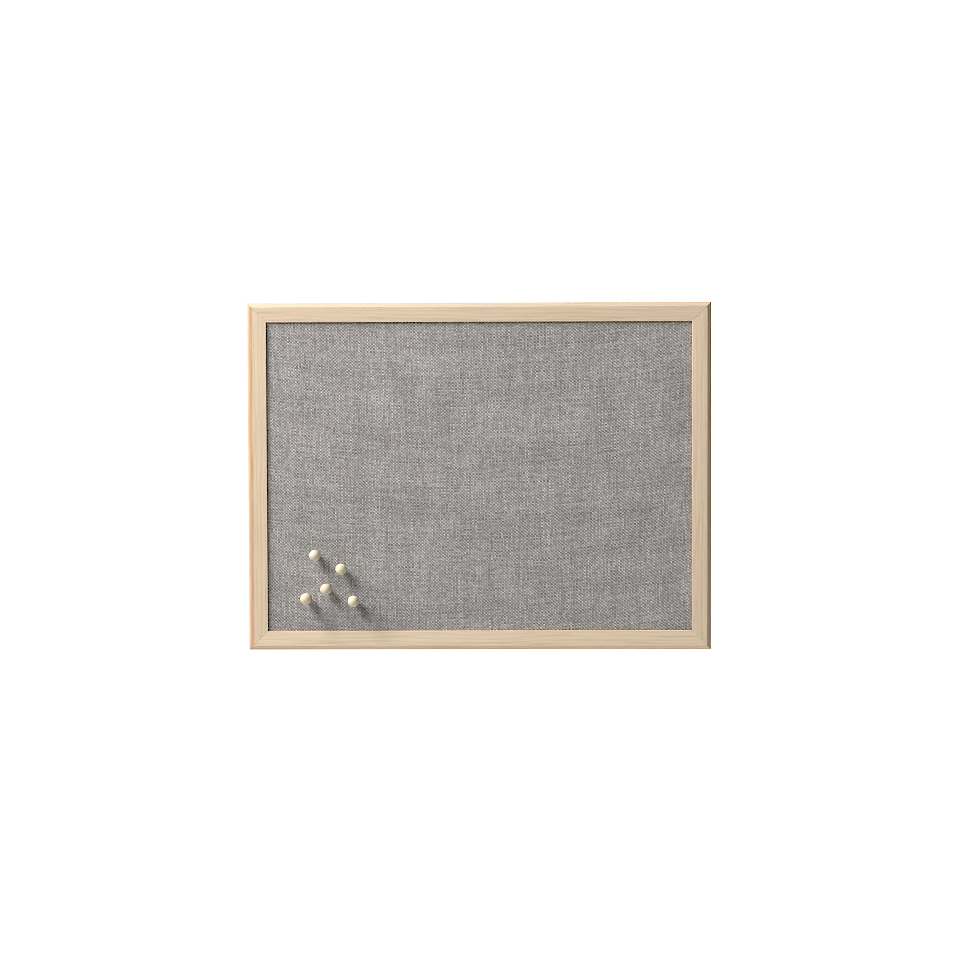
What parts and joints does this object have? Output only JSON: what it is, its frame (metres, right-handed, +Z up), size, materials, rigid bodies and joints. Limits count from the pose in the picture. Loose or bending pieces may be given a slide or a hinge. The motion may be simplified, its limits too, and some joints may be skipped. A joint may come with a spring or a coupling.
{
  "type": "pin board",
  "caption": "Framed wall board for pin badges: mitred pale wooden frame, grey woven fabric over softboard, turned wooden push pins, ring hangers on the back.",
  "frame": {"origin": "middle of the top rail's back face, in the plane that lies against the wall", "axes": "+X to the viewer's right along the long side, +Z up, +Y backwards into the wall; the fabric faces -Y"},
  "size_m": [0.4, 0.035, 0.3],
  "materials": {
    "rail_wood": "pale softwood, sanded and matt lacquered",
    "pin_wood": "turned light wood, smooth",
    "woven_fabric": "coarse plain weave, linen look, matt",
    "softboard": "fibrous softboard, unfinished",
    "hardboard": "smooth brown hardboard",
    "zinc_steel": "zinc plated",
    "needle_steel": "polished wire"
  },
  "bodies": {
    "board": {"rail_top": "rail_wood", "rail_bottom": "rail_wood", "stile_left": "rail_wood", "stile_right": "rail_wood", "fabric_cover": "woven_fabric", "softboard_core": "softboard", "backing_board": "hardboard", "corner_nail_top_right_1": "zinc_steel", "corner_nail_top_right_2": "zinc_steel", "corner_nail_top_left_1": "zinc_steel", "corner_nail_top_left_2": "zinc_steel", "corner_nail_bottom_left_1": "zinc_steel", "corner_nail_bottom_left_2": "zinc_steel", "corner_nail_bottom_right_1": "zinc_steel", "corner_nail_bottom_right_2": "zinc_steel", "panel_point_top_1": "zinc_steel", "panel_point_top_2": "zinc_steel", "panel_point_top_3": "zinc_steel", "panel_point_bottom_1": "zinc_steel", "panel_point_bottom_2": "zinc_steel", "panel_point_bottom_3": "zinc_steel", "panel_point_left_1": "zinc_steel", "panel_point_left_2": "zinc_steel", "panel_point_right_1": "zinc_steel", "panel_point_right_2": "zinc_steel", "hanger_strap_left": "zinc_steel", "hanger_strap_right": "zinc_steel", "hanger_screw_left": "zinc_steel", "hanger_screw_right": "zinc_steel"},
    "ring_left": {"hanger_ring_left": "zinc_steel"},
    "ring_right": {"hanger_ring_right": "zinc_steel"},
    "pin_1": {"pin_1_head": "pin_wood", "pin_1_needle": "needle_steel"},
    "pin_2": {"pin_2_head": "pin_wood", "pin_2_needle": "needle_steel"},
    "pin_3": {"pin_3_head": "pin_wood", "pin_3_needle": "needle_steel"},
    "pin_4": {"pin_4_head": "pin_wood", "pin_4_needle": "needle_steel"},
    "pin_5": {"pin_5_head": "pin_wood", "pin_5_needle": "needle_steel"}
  },
  "joints": [
    {"name": "ring_left_swing", "type": "hinge", "parent": "board", "child": "ring_left", "pos_m": [-0.1928, 0.0022, -0.03], "axis": [1, 0, 0], "range_deg": [0, 180]},
    {"name": "ring_right_swing", "type": "hinge", "parent": "board", "child": "ring_right", "pos_m": [0.1928, 0.0022, -0.03], "axis": [1, 0, 0], "range_deg": [0, 180]},
    {"name": "pin_1_pull", "type": "slide", "parent": "board", "child": "pin_1", "axis": [0, -1, 0], "range_m": [0, 0.0115]},
    {"name": "pin_2_pull", "type": "slide", "parent": "board", "child": "pin_2", "axis": [0, -1, 0], "range_m": [0, 0.0115]},
    {"name": "pin_3_pull", "type": "slide", "parent": "board", "child": "pin_3", "axis": [0, -1, 0], "range_m": [0, 0.0115]},
    {"name": "pin_4_pull", "type": "slide", "parent": "board", "child": "pin_4", "axis": [0, -1, 0], "range_m": [0, 0.0115]},
    {"name": "pin_5_pull", "type": "slide", "parent": "board", "child": "pin_5", "axis": [0, -1, 0], "range_m": [0, 0.0115]}
  ]
}
